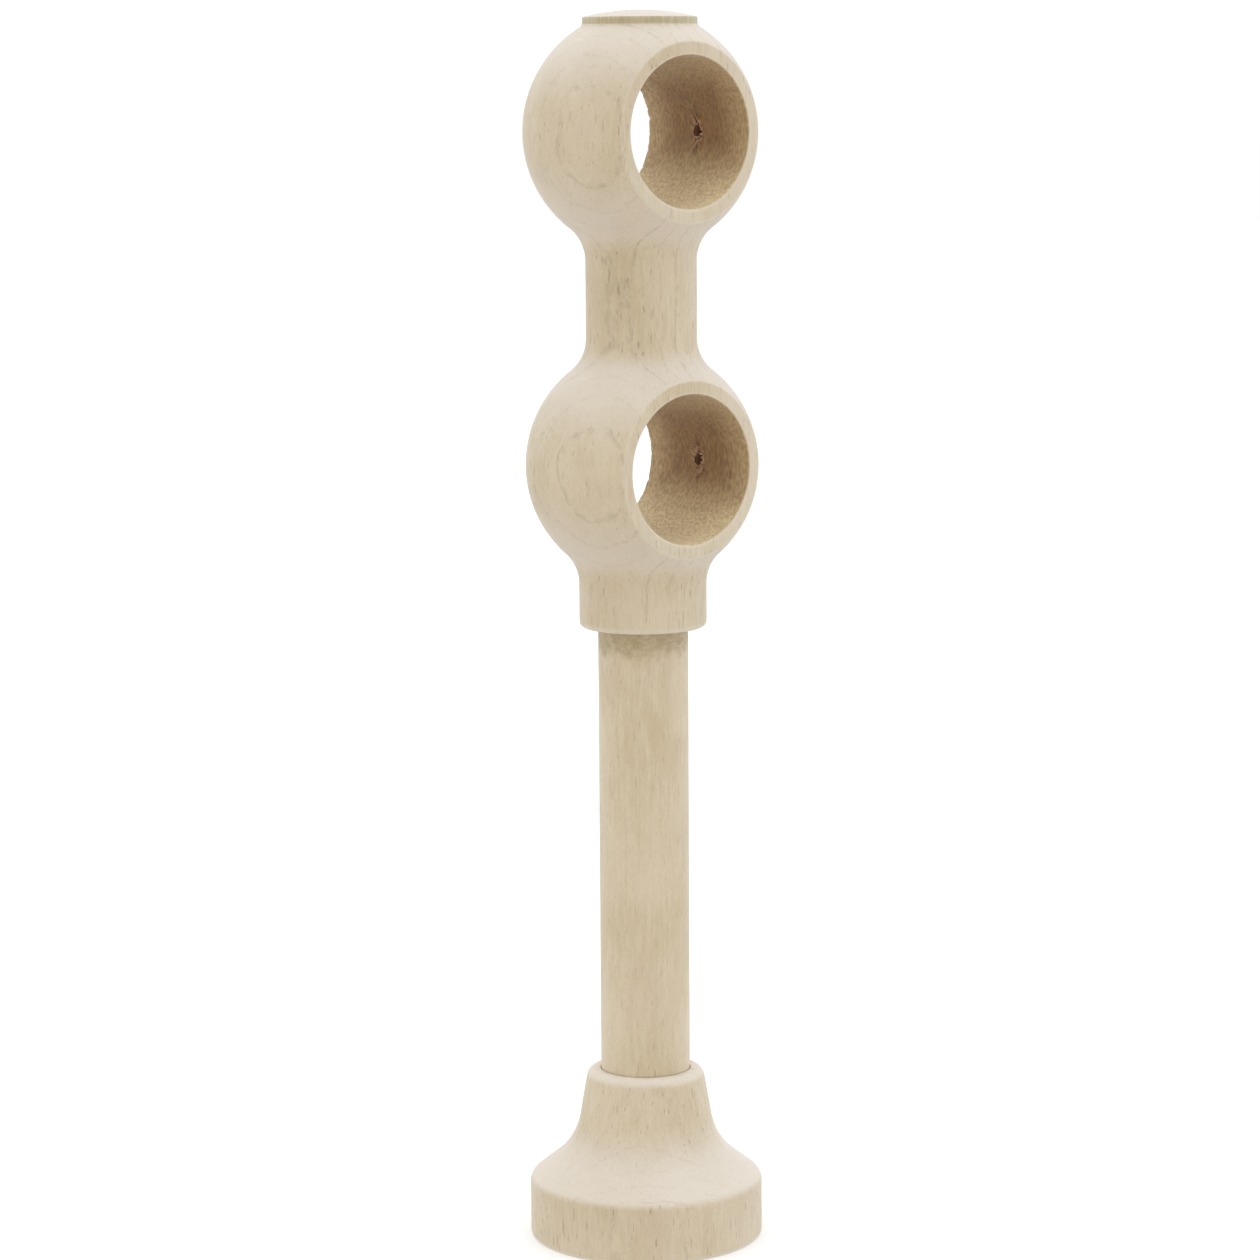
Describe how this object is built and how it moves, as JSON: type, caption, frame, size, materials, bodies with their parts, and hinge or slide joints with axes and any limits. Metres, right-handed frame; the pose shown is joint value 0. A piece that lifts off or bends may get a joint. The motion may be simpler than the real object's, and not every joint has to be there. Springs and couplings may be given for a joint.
{
  "type": "double curtain pole bracket",
  "caption": "Turned wooden wall bracket with a round rose, a plain dowel stem and a head with one ball-shaped pole eye above the other, each with a locking screw.",
  "frame": {"origin": "middle of the rose's flat underside, where the wall bolt enters", "axes": "+Z out from the wall along the stem, +X along both pole bores, +Y towards the heads of the locking screws"},
  "size_m": [0.047, 0.05, 0.2457],
  "materials": {
    "head_wood": "raw, sanded, matt",
    "stem_wood": "raw, smooth dowel, matt",
    "rose_wood": "raw, sanded, matt",
    "insert_brass": "plain turned",
    "screw_steel": "bright zinc plated"
  },
  "bodies": {
    "bracket": {"double_eye_head": "head_wood", "stem_dowel": "stem_wood", "wall_rose": "rose_wood", "threaded_insert": "insert_brass"},
    "upper_screw": {"lock_screw_upper": "screw_steel"},
    "lower_screw": {"lock_screw_lower": "screw_steel"}
  },
  "joints": [
    {"name": "upper_screw_travel", "type": "slide", "parent": "bracket", "child": "upper_screw", "axis": [0, -1, 0], "range_m": [-0.003, 0.0035]},
    {"name": "lower_screw_travel", "type": "slide", "parent": "bracket", "child": "lower_screw", "axis": [0, -1, 0], "range_m": [-0.003, 0.0035]}
  ]
}
